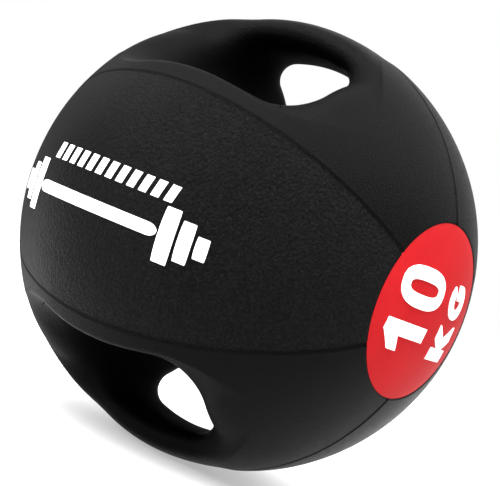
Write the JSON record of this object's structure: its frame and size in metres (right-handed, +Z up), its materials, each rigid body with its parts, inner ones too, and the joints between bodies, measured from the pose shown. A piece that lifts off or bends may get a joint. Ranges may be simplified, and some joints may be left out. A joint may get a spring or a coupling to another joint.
{
  "type": "medicine ball",
  "caption": "Heavy black rubber exercise ball with a grip bar bridging a finger tunnel at top and bottom, cover panels between seam grooves, and a red weight disc at each side.",
  "frame": {"origin": "middle of the small flat that the ball rests on, straight below the ball's centre", "axes": "+Z up through the middles of both grips, X through the centres of the two red discs, -Y towards the front panel; the valve is at +Y"},
  "size_m": [0.2746, 0.275, 0.2738],
  "materials": {
    "cover_rubber": "matte, fine leather grain",
    "grip_rubber": "matte, fine grain",
    "tunnel_rubber": "matte",
    "disc_rubber": "satin, fine grain",
    "mark_rubber": "satin",
    "ballast_rubber": "rough, mineral-filled",
    "bladder_rubber": "smooth butyl",
    "stiffener_nylon": "plain nylon",
    "valve_rubber": "satin"
  },
  "bodies": {
    "root": {"front_cover": "cover_rubber", "back_cover": "cover_rubber", "upper_front_cover": "cover_rubber", "upper_back_cover": "cover_rubber", "lower_front_cover": "cover_rubber", "lower_back_cover": "cover_rubber", "upper_grip_bar": "grip_rubber", "lower_grip_bar": "grip_rubber", "upper_grip_stiffener": "stiffener_nylon", "lower_grip_stiffener": "stiffener_nylon", "upper_tunnel_liner": "tunnel_rubber", "lower_tunnel_liner": "tunnel_rubber", "upper_ballast_half": "ballast_rubber", "lower_ballast_half": "ballast_rubber", "air_bladder": "bladder_rubber", "valve_stem": "valve_rubber", "valve_plug": "valve_rubber", "right_weight_disc": "disc_rubber", "right_figure_one": "mark_rubber", "right_figure_zero": "mark_rubber", "right_unit_k": "mark_rubber", "right_unit_g": "mark_rubber", "left_weight_disc": "disc_rubber", "left_figure_one": "mark_rubber", "left_figure_zero": "mark_rubber", "left_unit_k": "mark_rubber", "left_unit_g": "mark_rubber"}
  },
  "joints": []
}
